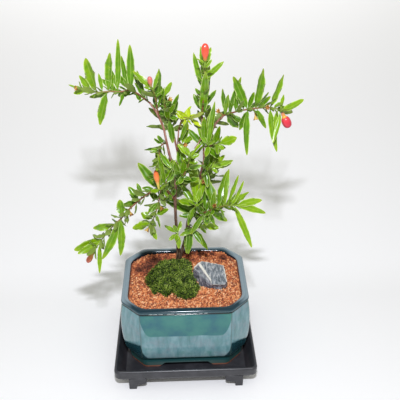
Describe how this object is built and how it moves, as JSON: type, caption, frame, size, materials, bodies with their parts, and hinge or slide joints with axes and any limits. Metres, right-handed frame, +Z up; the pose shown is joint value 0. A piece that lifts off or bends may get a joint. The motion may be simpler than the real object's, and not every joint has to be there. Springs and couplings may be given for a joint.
{
  "type": "potted pomegranate bonsai",
  "caption": "Dwarf pomegranate bonsai with narrow glossy leaves and red buds, rooted in red grit with moss and a rock, in a glazed cut-corner pot on a footed tray.",
  "frame": {"origin": "on the surface that the tray's feet stand on, under the middle of the whole bonsai's box", "axes": "+Z up along the trunk, +X to the right seen from the display side, -Y towards the display side"},
  "size_m": [0.2516, 0.158, 0.392],
  "materials": {
    "tray_plastic": "satin",
    "pot_glaze": "glossy",
    "drain_mesh": "matte",
    "grit": "matte",
    "moss": "matte",
    "rock": "matte",
    "bark": "matte",
    "leaf": "glossy",
    "bud_red": "satin",
    "bud_orange": "satin"
  },
  "bodies": {
    "root": {"tray": "tray_plastic", "pot": "pot_glaze", "drain_mesh_left": "drain_mesh", "drain_mesh_right": "drain_mesh", "grit": "grit", "moss": "moss", "rock": "rock", "trunk": "bark", "bud_top": "bud_red", "bud_right": "bud_red", "bud_middle": "bud_orange", "bud_low": "bud_orange", "bud_crest": "bud_red", "spray_upper_left": "leaf", "spray_left_crest": "leaf", "spray_crest": "leaf", "spray_yellow": "leaf", "spray_top": "leaf", "spray_right": "leaf", "spray_right_high": "leaf", "spray_right_middle": "leaf", "spray_upper_middle": "leaf", "spray_inner_left": "leaf", "spray_centre": "leaf", "spray_centre_tall": "leaf", "spray_low_right": "leaf", "spray_low_centre": "leaf", "spray_trunk_tuft": "leaf", "spray_left_arch": "leaf", "spray_left_middle": "leaf", "spray_low_left": "leaf", "spray_hanging": "leaf", "spray_back_low": "leaf", "spray_back_right": "leaf", "spray_back_crest": "leaf", "spray_back_upper": "leaf"}
  },
  "joints": []
}
